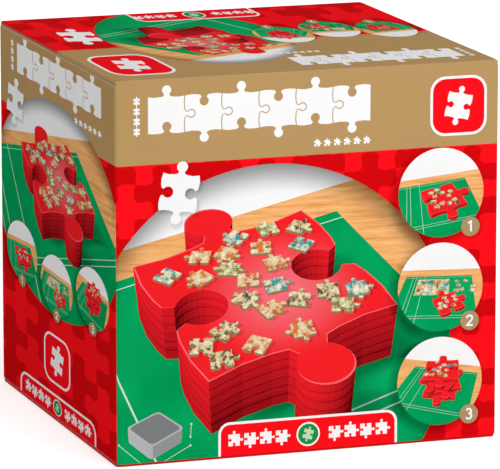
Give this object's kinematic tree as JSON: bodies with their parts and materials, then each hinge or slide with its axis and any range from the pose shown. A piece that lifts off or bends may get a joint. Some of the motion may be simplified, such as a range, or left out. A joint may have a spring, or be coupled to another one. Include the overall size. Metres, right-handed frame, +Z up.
{
  "type": "jigsaw puzzle storage case",
  "caption": "Printed folding carton with a tuck-in lid, holding nested square sorting trays for jigsaw pieces.",
  "frame": {"origin": "middle of the carton's underside", "axes": "+X to the right and +Y to the back seen from the front, +Z up through the lid"},
  "size_m": [0.208, 0.208, 0.1995],
  "materials": {
    "printed_board": "glossy printed carton board, raw pale edges",
    "plain_board": "uncoated carton board",
    "tray_plastic": "satin moulded plastic"
  },
  "bodies": {
    "carton": {"front_panel": "printed_board", "right_panel": "printed_board", "back_panel": "printed_board", "left_panel": "printed_board", "glue_flap": "plain_board", "bottom_outer_flap": "plain_board", "bottom_inner_flap": "plain_board", "bottom_dust_flap_left": "plain_board", "bottom_dust_flap_right": "plain_board"},
    "lid": {"lid_panel": "printed_board"},
    "tuck_flap": {"lid_tuck_flap": "plain_board"},
    "dust_flap_left": {"top_dust_flap_left": "plain_board"},
    "dust_flap_right": {"top_dust_flap_right": "plain_board"},
    "tray_1": {"tray_1": "tray_plastic"},
    "tray_2": {"tray_2": "tray_plastic"},
    "tray_3": {"tray_3": "tray_plastic"},
    "tray_4": {"tray_4": "tray_plastic"},
    "tray_5": {"tray_5": "tray_plastic"},
    "tray_6": {"tray_6": "tray_plastic"}
  },
  "joints": [
    {"name": "lid_hinge", "type": "hinge", "parent": "carton", "child": "lid", "pos_m": [0, 0.104, 0.1983], "axis": [-1, 0, 0], "range_deg": [0, 180]},
    {"name": "tuck_flap_hinge", "type": "hinge", "parent": "lid", "child": "tuck_flap", "pos_m": [0, -0.1011, 0.1983], "axis": [-1, 0, 0], "range_deg": [-70, 0]},
    {"name": "dust_flap_left_hinge", "type": "hinge", "parent": "carton", "child": "dust_flap_left", "pos_m": [-0.104, 0, 0.1968], "axis": [0, -1, 0], "range_deg": [0, 99]},
    {"name": "dust_flap_right_hinge", "type": "hinge", "parent": "carton", "child": "dust_flap_right", "pos_m": [0.104, 0, 0.1968], "axis": [0, 1, 0], "range_deg": [0, 99]},
    {"name": "tray_1_lift", "type": "slide", "parent": "carton", "child": "tray_1", "axis": [0, 0, 1], "range_m": [0, 0.045]},
    {"name": "tray_2_lift", "type": "slide", "parent": "tray_1", "child": "tray_2", "axis": [0, 0, 1], "range_m": [0, 0.045]},
    {"name": "tray_3_lift", "type": "slide", "parent": "tray_2", "child": "tray_3", "axis": [0, 0, 1], "range_m": [0, 0.045]},
    {"name": "tray_4_lift", "type": "slide", "parent": "tray_3", "child": "tray_4", "axis": [0, 0, 1], "range_m": [0, 0.045]},
    {"name": "tray_5_lift", "type": "slide", "parent": "tray_4", "child": "tray_5", "axis": [0, 0, 1], "range_m": [0, 0.045]},
    {"name": "tray_6_lift", "type": "slide", "parent": "tray_5", "child": "tray_6", "axis": [0, 0, 1], "range_m": [0, 0.045]}
  ],
  "couplings": [
    {"joint": "dust_flap_left_hinge", "follows": "lid_hinge", "ratio": 0.55},
    {"joint": "dust_flap_right_hinge", "follows": "lid_hinge", "ratio": 0.55}
  ]
}
